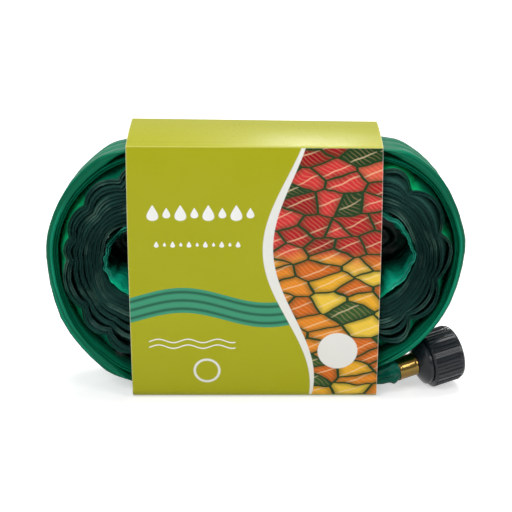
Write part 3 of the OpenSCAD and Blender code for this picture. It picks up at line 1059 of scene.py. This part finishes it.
def make_ferrule(name, node, place, brass):
    """A thin brass tube, crimped on eight sides, with rolled ends"""
    outer = FERRULE_OD / 2
    inner = outer - FERRULE_WALL
    waist = outer - WAIST_DEPTH
    outline = [
        (inner, 0), (outer, 0), (outer, ROLL_L), (waist, WAIST_START), (waist, FERRULE_L - WAIST_START),
        (outer, FERRULE_L - ROLL_L), (outer, FERRULE_L), (inner, FERRULE_L),
    ]
    bm = bmesh.new()
    turned(bm, outline, CRIMPS, sector_steps=12, round_off=0.2)
    for vert in bm.verts:
        z = vert.co.z / MM
        crimp = between((1.6, 3), (FERRULE_L - 1.6, FERRULE_L - 3), z)
        angle = math.atan2(vert.co.y, vert.co.x)
        if math.hypot(vert.co.x, vert.co.y) > (inner + 0.2) * MM:
            radially(vert, CRIMP_DEPTH * MM * crimp * math.cos(CRIMPS * angle))
    put_on(bm, place)
    finished(name, bm, "coil", [brass], BRASS_CREASE, [node])


def barbed_outline():
    """The barbed root, cone and collar that both stems share, from the water way outwards"""
    root_r = BARB_R - BARB_H
    outline = [(WATER_R, STEM_START), (root_r, STEM_START)]
    for i in range(BARBS):
        start = BARB_START + i * BARB_GAP
        outline += [(root_r, start), (BARB_R, start + BARB_L), (root_r, start + BARB_L + 0.1)]
    outline += [
        (root_r, FERRULE_L), (CONE_ROOT_R, FERRULE_L), (COLLAR_R, FERRULE_L + CONE_L),
        (COLLAR_R, COLLAR_END),
    ]
    return outline


def make_inlet_stem(plastic):
    outline = barbed_outline() + [
        (NECK_R, COLLAR_END), (NECK_R, FLANGE_START), (FLANGE_R, FLANGE_START), (FLANGE_R, FLANGE_END),
        (WATER_R, FLANGE_END),
    ]
    bm = bmesh.new()
    turned(bm, outline, sectors=8, sector_steps=12, round_off=0.3)
    put_on(bm, INLET_PLACE)
    finished("barbed_inlet_stem", bm, "coil", [plastic], PLASTIC_CREASE, ["inlet_stem"])


def make_end_stem(plastic):
    thread_end = COLLAR_END + END_THREAD_L
    outline = barbed_outline() + [
        (MALE_ROOT, COLLAR_END), (MALE_ROOT, thread_end), (THREAD_BORE_R, thread_end),
        (THREAD_BORE_R, FERRULE_L + CONE_L), (WATER_R, FERRULE_L + CONE_L),
    ]
    bm = bmesh.new()
    turned(bm, outline, sectors=8, sector_steps=12, round_off=0.3)
    ridge_start = COLLAR_END + RIDGE_MARGIN
    ridge_l = END_THREAD_L - 2 * RIDGE_MARGIN
    helical_ridge(bm, MALE_ROOT, MALE_CREST, ridge_start, ridge_l, THREAD_PITCH)
    put_on(bm, END_PLACE)
    finished("barbed_end_stem", bm, "coil", [plastic], PLASTIC_CREASE, ["end_stem"])


def ribbed(bm, body_r, crest_r, count, low, high):
    """Raises rounded ribs on the wall between two heights"""
    for vert in bm.verts:
        z = vert.co.z / MM
        r = math.hypot(vert.co.x, vert.co.y) / MM
        if r < body_r - 0.05:
            continue
        angle = math.atan2(vert.co.y, vert.co.x)
        rib = ramp(0.2, 0.9, math.cos(count * angle))
        raised = between((low, low + RIB_EASE), (high, high - RIB_EASE), z)
        radially(vert, (crest_r - body_r) * MM * rib * raised)


def rib_wall(r, low, high):
    """The part of a wall's outline that carries ribs, with corners where they rise"""
    rise = [low, low + RIB_EASE / 2, low + RIB_EASE]
    fall = [high - RIB_EASE, high - RIB_EASE / 2, high]
    return [(r, z) for z in rise + fall]


def make_coupling_nut(plastic):
    """A hole for the stem's neck, a cavity for its flange, and a female thread"""
    end = NUT_START + NUT_L
    low = NUT_START + 0.8
    high = end - 2.4
    hole_r = NECK_R + 0.05
    cavity_r = FEMALE_CREST + 0.5
    outline = [
        (hole_r, NUT_START), (NUT_R - NUT_BACK_SLOPE, NUT_START), *rib_wall(NUT_R, low, high),
        (NUT_R, end - NUT_BEVEL), (NUT_R - NUT_BEVEL, end), (FEMALE_ROOT + MOUTH_BEVEL, end),
        (FEMALE_ROOT, end - MOUTH_BEVEL), (FEMALE_ROOT, THREAD_START), (cavity_r, THREAD_START),
        (cavity_r, CAVITY_START), (hole_r, CAVITY_START),
    ]
    bm = bmesh.new()
    turned(bm, outline, NUT_RIBS, STEPS_PER_RIB, round_off=0.2)
    ribbed(bm, NUT_R, NUT_CREST, NUT_RIBS, low, high)
    thread_l = end - THREAD_START - 2.6
    helical_ridge(bm, FEMALE_ROOT, FEMALE_CREST, THREAD_START + 1, thread_l, THREAD_PITCH)
    put_on(bm, INLET_PLACE)
    finished("ribbed_tap_nut", bm, "tap_nut", [plastic], PLASTIC_CREASE, ["coupling_nut"])


def make_end_cap(plastic):
    inner_r = MALE_CREST + 0.1
    low = CAP_START + 0.9
    high = CAP_END - 1.6
    outline = [
        (0, CAP_END), (CAP_R - 1, CAP_END), (CAP_R, CAP_END - 1), *rib_wall(CAP_R, low, high)[::-1],
        (CAP_R, CAP_START), (inner_r, CAP_START), (inner_r, CAP_START + CAP_INSIDE),
        (0, CAP_START + CAP_INSIDE),
    ]
    bm = bmesh.new()
    turned(bm, outline, CAP_RIBS, STEPS_PER_RIB, round_off=0.2)
    ribbed(bm, CAP_R, CAP_CREST, CAP_RIBS, low, high)
    put_on(bm, END_PLACE)
    finished("ribbed_end_cap", bm, "cap", [plastic], PLASTIC_CREASE, ["end_cap"])


def make_fittings():
    brass = make_brass()
    plastic = make_black_plastic()
    rubber = make_rubber()
    make_ferrule("inlet_brass_tube", "inlet_ferrule", INLET_PLACE, brass)
    make_ferrule("end_brass_tube", "end_ferrule", END_PLACE, brass)
    make_inlet_stem(plastic)
    make_end_stem(plastic)
    make_coupling_nut(plastic)
    make_end_cap(plastic)
    give_material("tap_washer", rubber)
    give_material("end_cap_washer", rubber)


def give_material(node, material):
    """Gives a carried-over node its material"""
    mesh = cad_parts[node].data
    mesh.materials.clear()
    mesh.materials.append(material)


# ---- card sleeve ----

SLEEVE_W = 155
SLEEVE_H = 165.6
SLEEVE_D = 55.8
PANEL_BOW = 6
CARD_T = 0.6
CORNER_R = 6
LAP_LOW = 72
LAP = 20
JOG = 8
GLUE_T = 0.1
TOP_FOLD_R = 0.9
CARD_COLUMNS = 30
DM = 0.1                        # the flat sheet's UV map counts in decimetres
FRONT_FOLD_LIFT = (0.8, 0)      # how far the top's folds rise, at the left end and at the right end
BACK_FOLD_LIFT = (3.0, 0.9)
TOP_CROWN = 1.2
LIFT_DEPTH = 40                 # how far down the panels the rise reaches
OLIVE = (0.365, 0.365, 0.005)
OLIVE_PALE = (0.40, 0.40, 0.018)
CARD_GREY = (0.62, 0.60, 0.54)
CARD_GREY_SPECK = (0.45, 0.43, 0.38)
CARD_EDGE = (0.80, 0.78, 0.68)
CARD_EDGE_SPECK = (0.66, 0.63, 0.52)
GLUE_AMBER = (0.62, 0.52, 0.33)
GLUE_PALE = (0.78, 0.70, 0.52)
OFF_WHITE = (0.78, 0.78, 0.74)


def panel_y(z):
    """Distance of a panel's outer face from the middle plane at height z"""
    return SLEEVE_D / 2 + PANEL_BOW * math.sin(math.pi * (max(0.0, SLEEVE_H - z) / SLEEVE_H) ** 0.75)


def spread(low, high, steps):
    return [mix(low, high, i / steps) for i in range(steps + 1)]


def arc(centre, r, start, end, steps):
    """Points on an arc of the YZ plane, between two angles in degrees"""
    turns = [math.radians(a) for a in spread(start, end, steps)]
    return [(centre[0] + r * math.cos(a), centre[1] + r * math.sin(a)) for a in turns]


def sleeve_section():
    """The card's outer face as (y, z) points, from its inner end on the back, over the top
    and down the front, round the base and up to its outer end on the back"""
    top = SLEEVE_H - TOP_FOLD_R
    top_y = panel_y(top)
    corner_y = panel_y(CORNER_R)
    lap = spread(LAP_LOW, LAP_LOW + LAP, 8)
    step_out = CARD_T + GLUE_T
    return (
        [(panel_y(z), z) for z in lap]
        + [(panel_y(z), z) for z in spread(LAP_LOW + LAP + JOG, top, 18)]
        + arc((top_y - TOP_FOLD_R, top), TOP_FOLD_R, 20, 90, 4)
        + [(y, SLEEVE_H) for y in spread(top_y - 4, 4 - top_y, 12)]
        + arc((TOP_FOLD_R - top_y, top), TOP_FOLD_R, 90, 160, 4)
        + [(-panel_y(z), z) for z in spread(top, CORNER_R, 40)]
        + arc((CORNER_R - corner_y, CORNER_R), CORNER_R, 190, 270, 8)
        + arc((corner_y - CORNER_R, CORNER_R), CORNER_R, 270, 350, 8)
        + [(panel_y(z), z) for z in spread(CORNER_R, LAP_LOW - JOG, 12)]
        + [(panel_y(LAP_LOW) + step_out, LAP_LOW - 0.5)]
        + [(panel_y(z) + step_out, z) for z in lap]
    )


def top_lift(x, y, z):
    """How far the slack card rises at a place near its top, where it isn't pressed flat"""
    share = x / SLEEVE_W + 0.5
    back = min(1.0, max(0.0, y / SLEEVE_D + 0.5))
    folds = mix(mix(*FRONT_FOLD_LIFT, share), mix(*BACK_FOLD_LIFT, share), back)
    crown = TOP_CROWN * math.sin(math.pi * back) * ramp(SLEEVE_H - 0.5, SLEEVE_H, z)
    return folds * ramp(SLEEVE_H - LIFT_DEPTH, SLEEVE_H, z) + crown


def make_card_sleeve():
    """One strip of card: its outer face is drawn out along X, and its wall lies inside that"""
    section = sleeve_section()
    run = [0.0]
    for a, b in zip(section, section[1:]):
        run.append(run[-1] + math.dist(a, b))
    fold = next(r for r, (y, z) in zip(run, section) if y < 0 and z < SLEEVE_H - 0.3)
    bm = bmesh.new()
    half = SLEEVE_W / 2
    verts = [bm.verts.new((-half * MM, y * MM, z * MM)) for y, z in section]
    edges = [bm.edges.new(pair) for pair in zip(verts, verts[1:])]
    flat = bm.loops.layers.uv.new("sheet")
    rows = {vert: i for i, vert in enumerate(verts)}
    for column in range(CARD_COLUMNS):
        made = bmesh.ops.extrude_edge_only(bm, edges=edges)["geom"]
        new_verts = [item for item in made if isinstance(item, bmesh.types.BMVert)]
        edges = [item for item in made if isinstance(item, bmesh.types.BMEdge)]
        bmesh.ops.translate(bm, verts=new_verts, vec=(SLEEVE_W / CARD_COLUMNS * MM, 0, 0))
        for vert in new_verts:
            spot = (round(vert.co.y / MM, 3), round(vert.co.z / MM, 3))
            rows[vert] = min(range(len(section)), key=lambda i: math.dist(section[i], spot))
    for vert, i in rows.items():
        for loop in vert.link_loops:
            loop[flat].uv = (vert.co.x / DM, (run[i] - fold) * MM / DM)
    for vert in bm.verts:
        vert.co.z += top_lift(*(vert.co / MM)) * MM
    bmesh.ops.recalc_face_normals(bm, faces=list(bm.faces))
    materials = [make_print(), make_plain_card("card_inside", CARD_GREY, CARD_GREY_SPECK),
                 make_plain_card("card_cut_edge", CARD_EDGE, CARD_EDGE_SPECK)]
    sleeve = finished("printed_sleeve", bm, "sleeve", materials, CARD_CREASE, ["card_sleeve"])
    wall = sleeve.modifiers.new("card", "SOLIDIFY")
    wall.thickness = CARD_T * MM
    wall.offset = -1
    wall.material_offset = 1
    wall.material_offset_rim = 2
    give_material("sleeve_lap_glue", make_glue())


def make_glue():
    p = Paint("lap_glue")
    cloud = p.noise(p.place(), 120, 3)
    colour = p.blend(cloud, GLUE_AMBER, GLUE_PALE)
    return p.finish(p.surface(colour, 0.35, p.bump(cloud, 0.4, 0.0003)))


def make_plain_card(name, base, dark):
    """Unprinted card: the sleeve's inside, and its cut edges"""
    p = Paint(name)
    place = p.place()
    fibres = p.stretched_noise(place, (500.0, 900.0, 900.0), 4)
    specks = p.noise(place, 300, 2)
    colour = p.blend(p.step(0.5, 0.72, specks), base, dark)
    return p.finish(p.surface(colour, 0.75, p.bump(fibres, 0.3, 0.0001)))


# The print's places are in decimetres: across from the sleeve's middle, and down from the
# front top fold
FRONT_TOP = 0.004
FRONT_END = 1.64
SPOT = (0.52, 1.32)
SPOT_R = 0.125
RING = (-0.30, 1.46)
RING_R = 0.085
RING_HOLE_R = 0.07
BAND_DOWN = 1.02
BAND_HALF = 0.085
RIPPLES_DOWN = (1.25, 1.29)
RIPPLES_ACROSS = (-0.66, -0.12)
LABEL_DOWN = (2.45, 2.9)
LABEL_HALF = 0.5
CREASE_DOWN = (-0.074, -0.066)
# wear and a painted highlight along the front fold
FOLD_WEAR_AND_HIGHLIGHT = (-0.006, 0.004)
SIDE_WEAR = (0.768, 0.776)      # from the card's middle; its cut sides are at 0.775
CRISP = 0.003                   # half width over which a printed edge fades
LARGE_DROPS = (-0.62, 0.40, 0.085, 8, 0.1)      # x, y, spacing, count and height of a row
SMALL_DROPS = (-0.60, 0.60, 0.05, 11, 0.04)
SMALLER_DROP = 0.66             # size of every second drop beside its neighbours
LEAF_SLANT = math.radians(38)
LEAVES_PER_DM = (5.2, 9.5, 1)
WHITE_INK = (0.85, 0.85, 0.82)
BAND_DARK = (0.02, 0.12, 0.07)
BAND_GREEN = (0.05, 0.30, 0.17)
# wear and painted highlight along the front fold
FOLD_WEAR_AND_HIGHLIGHT_PALE = (0.72, 0.72, 0.30)
# painted shade in a faint crease on the top
CREASE_SHADE = (0.12, 0.12, 0.0)
VEIN_PALE = (0.95, 0.75, 0.45)
HATCH_PALE = (0.9, 0.55, 0.25)
LEAF_DARK = (0.012, 0.045, 0.012)
# A leaf's colour by chance: the share from which each colour is taken
RED_LEAVES = (
    (0, (0.42, 0.012, 0.018)), (0.3, (0.62, 0.035, 0.04)), (0.55, (0.30, 0.006, 0.012)),
    (0.75, (0.70, 0.10, 0.06)), (0.9, LEAF_DARK),
)
ORANGE_LEAVES = (
    (0, (0.75, 0.24, 0.015)), (0.3, (0.80, 0.40, 0.02)), (0.55, (0.62, 0.13, 0.01)),
    (0.75, (0.82, 0.55, 0.05)), (0.88, (0.03, 0.09, 0.02)),
)


def print_mosaic(p, sheet, down):
    """Leaf-shaped cells in reds above and oranges below, with dark green between them"""
    slant = p.node("ShaderNodeMapping")
    p.put(slant.inputs["Vector"], sheet)
    slant.inputs["Rotation"].default_value = (0, 0, LEAF_SLANT)
    slant.inputs["Scale"].default_value = LEAVES_PER_DM
    warp = p.noise(sheet, 4, 2)
    cells_at = p.vector("ADD", slant.outputs[0], p.combine(p.scaled(warp, 0.7), p.scaled(warp, -0.5)))
    cells = p.node("ShaderNodeTexVoronoi", voronoi_dimensions="2D", feature="F1")
    borders = p.node("ShaderNodeTexVoronoi", voronoi_dimensions="2D", feature="DISTANCE_TO_EDGE")
    for texture in (cells, borders):
        p.put(texture.inputs["Vector"], cells_at)
        texture.inputs["Scale"].default_value = 1.0
        texture.inputs["Randomness"].default_value = 0.8
    chance = p.separate(cells.outputs["Color"])[0]
    reds = p.ramp(chance, RED_LEAVES, "CONSTANT")
    oranges = p.ramp(chance, ORANGE_LEAVES, "CONSTANT")
    fill = p.blend(p.step(0.6, 0.8, p.math("ADD", down, p.scaled(warp, 0.25, -0.12))), reds, oranges)
    inner = p.vector("SUBTRACT", cells_at, cells.outputs["Position"])
    vein = p.window(-0.035, 0.035, 0.02, p.separate(inner)[1])
    rib = p.math("SINE", p.scaled(p.separate(inner)[0], 38))
    fill = p.blend(p.scaled(p.step(0.2, 1, rib), 0.16), fill, HATCH_PALE)
    fill = p.blend(p.scaled(vein, 0.45), fill, VEIN_PALE)
    shade = p.step(0.0, 0.3, borders.outputs["Distance"])
    fill = p.blend(p.scaled(shade, 0.55, 0.45), LEAF_DARK, fill)
    return p.blend(p.step(0.03, 0.06, borders.outputs["Distance"]), LEAF_DARK, fill)


def disc(p, sheet, middle, r):
    """1 inside a disc"""
    away = p.vector("DISTANCE", sheet, (*middle, 0.0))
    return p.step(r + 0.004, r - 0.004, away)


def print_drops(p, sheet, x, y, gap, count, height):
    """1 inside a row of drops of two sizes"""
    total = 0.0
    for i in range(count):
        size = height * (1.0 if i % 2 == 0 else SMALLER_DROP)
        shift = p.vector("SUBTRACT", sheet, (x + gap * i, y, 0.0))
        across, down, _ = p.separate(shift)
        taper = p.scaled(down, 0.9 / size, 0.62)
        wide = p.math("DIVIDE", across, p.either(taper, 0.05))
        away = p.vector("LENGTH", p.combine(wide, down))
        total = p.either(total, p.step(0.52 * size, 0.46 * size, away))
    return total


def print_divided(p, sheet, past, down, colour):
    """A white wave down the front, past its dividing line, and the leaf mosaic beyond it"""
    on_front = p.window(FRONT_TOP, FRONT_END, 0.002, down)
    white_w = p.scaled(p.math("SINE", p.scaled(down, 1.9, 0.1)), 0.045, 0.02)
    in_white = p.both(p.step(-CRISP, CRISP, past), on_front)
    in_mosaic = p.both(p.step(-CRISP, CRISP, p.math("SUBTRACT", past, white_w)), on_front)
    colour = p.blend(in_white, colour, OFF_WHITE)
    return p.blend(in_mosaic, colour, print_mosaic(p, sheet, down))


def print_band(p, past, across, down, colour):
    """A green band that curves across the front, up to the white wave, with stripes along it"""
    curve = p.scaled(p.math("SINE", p.scaled(across, 6.0, 1.1)), 0.05, BAND_DOWN)
    off_curve = p.math("SUBTRACT", down, curve)
    in_band = p.both(p.window(-BAND_HALF, BAND_HALF, 0.002, off_curve), p.step(CRISP, -CRISP, past))
    stripe = p.math("ABSOLUTE", p.math("SINE", p.scaled(off_curve, 56)))
    return p.blend(in_band, colour, p.blend(p.step(0.1, 0.9, stripe), BAND_DARK, BAND_GREEN))


def print_marks(p, sheet, across, down, colour):
    """A disc, a ring, rows of drops, two ripples, and a bare label panel on the back"""
    colour = p.blend(disc(p, sheet, SPOT, SPOT_R), colour, OFF_WHITE)
    ring = p.math("SUBTRACT", disc(p, sheet, RING, RING_R), disc(p, sheet, RING, RING_HOLE_R))
    colour = p.blend(ring, colour, OFF_WHITE)
    large_row = print_drops(p, sheet, *LARGE_DROPS)
    small_row = print_drops(p, sheet, *SMALL_DROPS)
    colour = p.blend(p.either(large_row, small_row), colour, WHITE_INK)
    extent = p.window(*RIPPLES_ACROSS, 0.005, across)
    for level in RIPPLES_DOWN:
        ripple = p.scaled(p.math("SINE", p.scaled(across, 34)), 0.012, level)
        line = p.window(-0.004, 0.004, 0.002, p.math("SUBTRACT", down, ripple))
        colour = p.blend(p.both(line, extent), colour, WHITE_INK)
    label = p.both(p.window(*LABEL_DOWN, CRISP, down), p.window(-LABEL_HALF, LABEL_HALF, CRISP, across))
    return p.blend(label, colour, OFF_WHITE)


def print_wear_and_painted_light(p, across, down, scuff, colour):
    """Paler along the front fold as wear and a painted highlight, and along the cut sides as wear, with
    a painted shade line for a faint crease along the top's left
    """
    fold_line = p.window(*FOLD_WEAR_AND_HIGHLIGHT, 0.003, down)
    colour = p.blend(p.scaled(fold_line, 0.2), colour, FOLD_WEAR_AND_HIGHLIGHT_PALE)
    crease = p.both(p.window(*CREASE_DOWN, 0.004, down), p.step(0.3, -0.6, across))
    colour = p.blend(p.scaled(crease, 0.25), colour, CREASE_SHADE)
    edge = p.step(*SIDE_WEAR, p.math("ABSOLUTE", across))
    return p.blend(p.scaled(p.both(edge, scuff), 0.9), colour, CARD_EDGE)


def make_print():
    """Coated card: an olive field, with a white wave, a leaf mosaic and rows of drops"""
    p = Paint("printed_card")
    sheet = p.uv()
    across, down, _ = p.separate(sheet)
    divider = p.scaled(p.math("SINE", p.scaled(down, 3.4, -0.6)), -0.15, 0.20)
    past = p.math("SUBTRACT", across, divider)
    scuff = p.noise(sheet, 60, 3)
    colour = p.blend(p.noise(sheet, 2.5, 2), OLIVE, OLIVE_PALE)
    colour = print_divided(p, sheet, past, down, colour)
    colour = print_band(p, past, across, down, colour)
    colour = print_marks(p, sheet, across, down, colour)
    colour = print_wear_and_painted_light(p, across, down, scuff, colour)
    grain = p.noise(sheet, 150, 3)
    slack = p.noise(sheet, 1.6, 2)
    normal = p.bump(p.math("ADD", p.scaled(grain, 0.02), slack), 0.2, 0.002)
    return p.finish(p.surface(colour, p.scaled(scuff, 0.1, 0.24), normal, Specular_IOR_Level=0.12))


# ---- stage ----

def area_light(name, place, aim, size, power):
    data = bpy.data.lights.new(name, "AREA")
    data.shape = "RECTANGLE"
    data.size, data.size_y = size
    data.energy = power
    light = bpy.data.objects.new(name, data)
    bpy.context.scene.collection.objects.link(light)
    light.location = place
    light.rotation_euler = (Vector(place) - Vector(aim)).to_track_quat("Z", "Y").to_euler()


FLOOR_HALF_W = 4
FLOOR_GAP = 0.5 * MM
FLOOR_WHITE = (0.8, 0.8, 0.8)
SHADOW_ENDS = (0.5, 1.6)        # metres over which the floor goes from half white to wholly white
WORLD_BASE = 0.07               # strength of the world's light, and what is added to it
WORLD_OVERHEAD = 0.35
WORLD_FRONT = 0.1
GLOSSY_WORLD = 0.5              # how much of the white surroundings glossy surfaces show


def make_floor():
    """White to the eye, wholly so far from the object, and grey enough to hold its shadow"""
    p = Paint("white_floor")
    path = p.node("ShaderNodeLightPath")
    seen = p.either(path.outputs["Is Camera Ray"], path.outputs["Is Glossy Ray"])
    seen = p.either(seen, path.outputs["Is Transmission Ray"])
    plain = p.node("ShaderNodeBsdfDiffuse")
    p.put(plain.inputs["Color"], FLOOR_WHITE)
    lift = p.node("ShaderNodeEmission")
    far = p.step(*SHADOW_ENDS, p.vector("LENGTH", p.place()))
    p.put(lift.inputs["Strength"], p.both(seen, p.scaled(far, 0.5, 0.5)))
    both = p.node("ShaderNodeAddShader")
    p.tree.links.new(plain.outputs[0], both.inputs[0])
    p.tree.links.new(lift.outputs[0], both.inputs[1])
    bm = bmesh.new()
    bmesh.ops.create_grid(bm, x_segments=1, y_segments=1, size=FLOOR_HALF_W)
    mesh = bpy.data.meshes.new("floor")
    bm.to_mesh(mesh)
    bm.free()
    mesh.materials.append(p.finish(both.outputs[0]))
    floor = bpy.data.objects.new("floor", mesh)
    bpy.context.scene.collection.objects.link(floor)
    floor.location.z = -FLOOR_GAP


def make_world():
    """A soft studio: darker near the horizon behind, brighter overhead and in front"""
    p = Paint("studio", world=True)
    _, y, z = p.separate(p.node("ShaderNodeTexCoord").outputs["Generated"])
    overhead = p.scaled(p.step(0.1, 0.9, z), WORLD_OVERHEAD)
    in_front = p.scaled(p.step(0.1, -0.9, y), WORLD_FRONT)
    strength = p.math("ADD", p.math("ADD", overhead, in_front), WORLD_BASE)
    path = p.node("ShaderNodeLightPath")
    seen = p.either(path.outputs["Is Camera Ray"], path.outputs["Is Transmission Ray"])
    seen = p.either(seen, p.scaled(path.outputs["Is Glossy Ray"], GLOSSY_WORLD))
    background = p.node("ShaderNodeBackground")
    p.put(background.inputs["Color"], (1, 1, 1))
    p.put(background.inputs["Strength"], p.either(strength, seen))
    bpy.context.scene.world = p.finish(background.outputs[0])


# Each light's name, place, aim, width and height in metres, and power in watts. The last one
# puts the sheen on the sleeve's top
LIGHTS = (
    ("key", (-0.6, -1.3, 1.2), (0, 0, 0.08), (0.8, 0.6), 13),
    ("fill", (1.2, -1.0, 0.9), (0, 0, 0.08), (0.5, 0.5), 6),
    ("top", (0.1, 0.25, 1.6), (0, 0, 0.1), (1.0, 0.6), 17.5),
    ("sheen", (0.12, 1.7, 1.16), (0, 0, 0.16), (0.08, 0.14), 2.8),
)


def make_stage():
    make_floor()
    make_world()
    for light in LIGHTS:
        area_light(*light)
    bpy.context.scene.view_settings.view_transform = "Standard"


make_hose_coil()
make_core_fold()
make_tails()
make_fittings()
make_card_sleeve()
make_stage()
